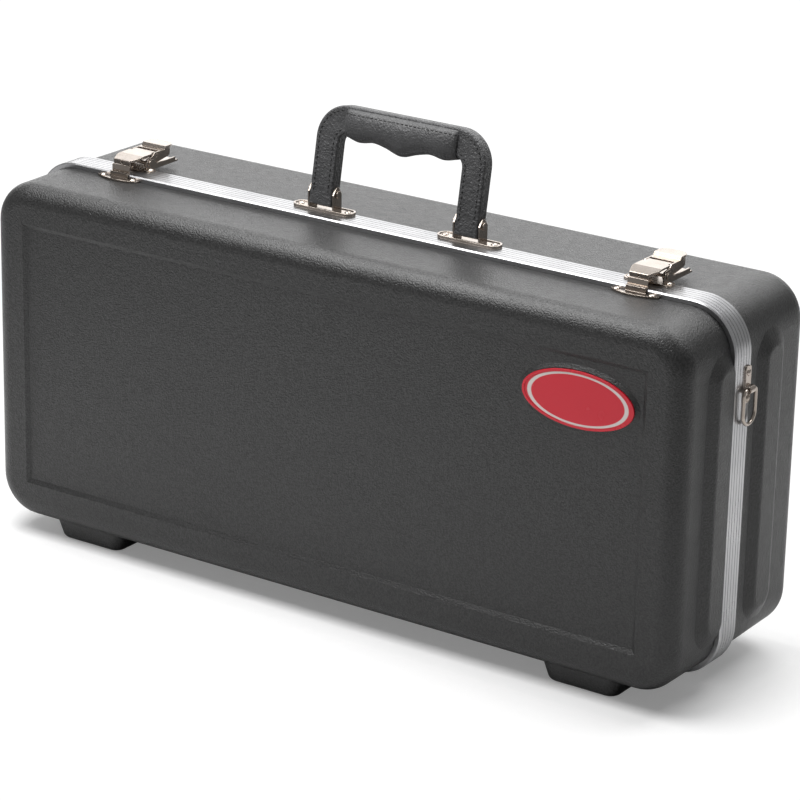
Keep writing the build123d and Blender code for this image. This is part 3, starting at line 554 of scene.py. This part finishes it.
def stitch_rows(maker):
    """Gives a curve the stitches' modifier and its sizes."""
    sizes = {"Pitch": STITCH_PITCH, "Length": STITCH_LENGTH, "Radius": STITCH_RADIUS}
    rows = maker.modifiers.new("rows", "NODES")
    rows.node_group = stitch_rows_tree()
    for socket in rows.node_group.interface.items_tree:
        if socket.name in sizes:
            rows[socket.identifier] = sizes[socket.name] * MM


def leg_rows(face):
    """Both rows of stitches on one face of both legs, out of the handle's plane by `face`."""
    half = (LEG_SPACING + LEG_WIDTH) / 2
    inner = (LEG_SPACING - LEG_WIDTH) / 2
    under = HANDLE_RISE - LEG_WIDTH
    bends = (
        (half - HANDLE_CORNER, HANDLE_RISE - HANDLE_CORNER, HANDLE_CORNER - LEG_ROW_INSET, OUTER_SWEEP),
        (inner - INNER_CORNER, under - INNER_CORNER, INNER_CORNER + LEG_ROW_INSET, INNER_SWEEP),
    )
    rows = []
    for x, y, radius, sweep in bends:
        path = [(x + radius, LEG_ROW_START), (x + radius, y)]
        for step in range(1, BEND_STEPS + 1):
            angle = math.radians(sweep * step / BEND_STEPS)
            path.append((x + radius * math.cos(angle), y + radius * math.sin(angle)))
        for side in (-1, 1):
            rows.append([on_handle(side * px, py, face) for px, py in path])
    return rows


def grip_row(skin, side):
    """A row along the grip just under its top, laid on its skin from the front or the back."""
    row = []
    for step in range(GRIP_ROW_STEPS + 1):
        x = (GRIP_HALF - GRIP_ROW_INSET) * (2 * step / GRIP_ROW_STEPS - 1)
        start = on_handle(x, HANDLE_RISE - GRIP_ROW_DROP, side * CLEAR_OF_GRIP)
        hit = skin.ray_cast(start, -side * OUT_HANDLE)[0]
        if hit:
            row.append(hit)
    return row


def stitching(grip):
    skin = BVHTree.FromObject(grip, bpy.context.evaluated_depsgraph_get())
    rows = []
    for side in (-1, 1):
        rows += leg_rows(side * HANDLE_THICK / 2)
        rows.append(grip_row(skin, side))
    curve = polyline("handle_stitching", rows)
    curve_piece("handle_stitching", curve, THREAD, "handle", stitch_rows)


# Linings
def padded_lining(node, body):
    mesh = NODES[node].data.copy()
    piece = new_piece(node + "_padding", mesh, MATERIALS["lining_plush"], body)
    remesh(piece, LINING_VOXEL)
    draw_in(piece, LINING_DRAWN_IN)
    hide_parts(node)
    return piece


def rim_path(inset):
    """Round-cornered outline of the lining's rim, drawn in by an inset."""
    half_x = LINING_LENGTH / 2 - LINING_CORNER
    half_z = LINING_HEIGHT / 2 - LINING_CORNER
    radius = LINING_CORNER - inset
    path = []
    for quarter, (sign_x, sign_z) in enumerate(((1, 1), (-1, 1), (-1, -1), (1, -1))):
        for step in range(CORNER_STEPS + 1):
            angle = math.radians(90 * quarter + 90 * step / CORNER_STEPS)
            x = sign_x * half_x + radius * math.cos(angle)
            z = sign_z * half_z + radius * math.sin(angle)
            path.append((x, z))
    return path


def welt(node, body, depth):
    """Piping round the lining's rim; depth is from the parting plane."""
    row = [Vector((x, PART_Y + depth, MID_Z + z)) * MM for x, z in rim_path(WELT_RADIUS)]
    curve = polyline(node + "_welt", [row])
    curve.splines[0].use_cyclic_u = True
    curve.bevel_depth = WELT_RADIUS * MM
    curve.bevel_resolution = WELT_RINGS
    curve_piece(node + "_welt", curve, MATERIALS["lining_plush"], body)


def soft_parts():
    grip = padded_grip()
    lid_lining = padded_lining("lid_lining", "lid")
    body_lining = padded_lining("body_lining", "case_body")
    swell({grip: GRIP_SWELL, lid_lining: LINING_SWELL, body_lining: LINING_SWELL})
    subdivide(lid_lining)
    subdivide(body_lining)
    welt("lid_lining", "lid", -LINING_GAP - WELT_RADIUS)
    welt("body_lining", "case_body", LINING_GAP + WELT_RADIUS)
    stitching(grip)


# Camera, floor and light
def camera():
    """The photograph's view, with a long lens."""
    azimuth, elevation, roll = (math.radians(a) for a in CAMERA_TURN)
    back = Vector((
        math.sin(azimuth) * math.cos(elevation),
        -math.cos(azimuth) * math.cos(elevation),
        math.sin(elevation),
    ))
    right = Vector((0, 0, 1)).cross(back).normalized()
    up = back.cross(right)
    across = right * math.cos(roll) + up * math.sin(roll)
    upward = up * math.cos(roll) - right * math.sin(roll)
    data = bpy.data.cameras.new("camera")
    data.sensor_width = CAMERA_SENSOR
    data.lens = CAMERA_LENS
    data.clip_start, data.clip_end = CAMERA_CLIP
    cam = bpy.data.objects.new("camera", data)
    turn = Matrix((across, upward, back)).transposed()
    cam.matrix_world = Matrix.Translation(CAMERA_PLACE) @ turn.to_4x4()
    SCENE.collection.objects.link(cam)
    SCENE.camera = cam


def area_light(name, place, target, size, power):
    data = bpy.data.lights.new(name, "AREA")
    data.shape = "RECTANGLE"
    data.size, data.size_y = size
    data.energy = power
    lamp = bpy.data.objects.new(name, data)
    lamp.location = place
    lamp.rotation_euler = (Vector(target) - Vector(place)).to_track_quat("-Z", "Y").to_euler()
    SCENE.collection.objects.link(lamp)


def floor_paper():
    """White paper under the case, which fades out round it for the camera and the lamps.

    The open lid hangs below the floor, and is seen and lit through it.
    """
    s = Finish("pale_paper_floor", "efefef", Roughness=0.9, Emission_Color=(1, 1, 1, 1))
    tone = s.add("ShaderNodeTexNoise", Vector=s.place, Scale=per_mm(400), Detail=2, Roughness=0.55)
    seen = s.add("ShaderNodeLightPath", out="Is Camera Ray")
    lit = s.add("ShaderNodeLightPath", out="Is Shadow Ray")
    corner = s.add("ShaderNodeVectorMath", s.place, operation="ABSOLUTE")
    past = s.add("ShaderNodeVectorMath", corner, FOOTPRINT, operation="SUBTRACT")
    outside = s.add("ShaderNodeVectorMath", past, (0, 0, 0), operation="MAXIMUM")
    away = s.add("ShaderNodeVectorMath", outside, operation="LENGTH", out="Value")
    faded = s.add("ShaderNodeMapRange", away, *FLOOR_FADE, 0, 1)
    passing = s.add("ShaderNodeMath", seen, lit, operation="ADD")
    clear = s.add("ShaderNodeMath", faded, passing, operation="MULTIPLY")
    s.wear(
        Base_Color=s.between(tone, 0.3, 0.7, "ededed", "f1f1f1"),
        Emission_Strength=s.add("ShaderNodeMapRange", seen, 0, 1, 0, FLOOR_LIFT),
        Alpha=s.add("ShaderNodeMapRange", clear, 0, 1, 1, 0),
    )
    return s.mat


def white_surround():
    """A dim world that is white where the camera sees it, and pale in glossy reflections."""
    world = bpy.data.worlds.new("studio")
    world.use_nodes = True
    tree = world.node_tree
    total = WORLD_STRENGTH
    for ray, strength in WORLD_RAYS:
        seen = add_node(tree, "ShaderNodeLightPath", out=ray)
        total = add_node(tree, "ShaderNodeMath", seen, strength, total, operation="MULTIPLY_ADD")
    feed(tree, tree.nodes["Background"], {"Color": (1, 1, 1, 1), "Strength": total})
    SCENE.world = world


def studio():
    mesh = bpy.data.meshes.new("floor")
    bm = bmesh.new()
    bmesh.ops.create_grid(bm, x_segments=1, y_segments=1, size=FLOOR_HALF)
    bm.to_mesh(mesh)
    bm.free()
    floor = bpy.data.objects.new("floor", mesh)
    SCENE.collection.objects.link(floor)
    mesh.materials.append(floor_paper())
    white_surround()
    for name, lamp in LAMPS.items():
        area_light(name, *lamp)
    SCENE.view_settings.view_transform = "Standard"


dress_nodes()
soft_parts()
camera()
studio()
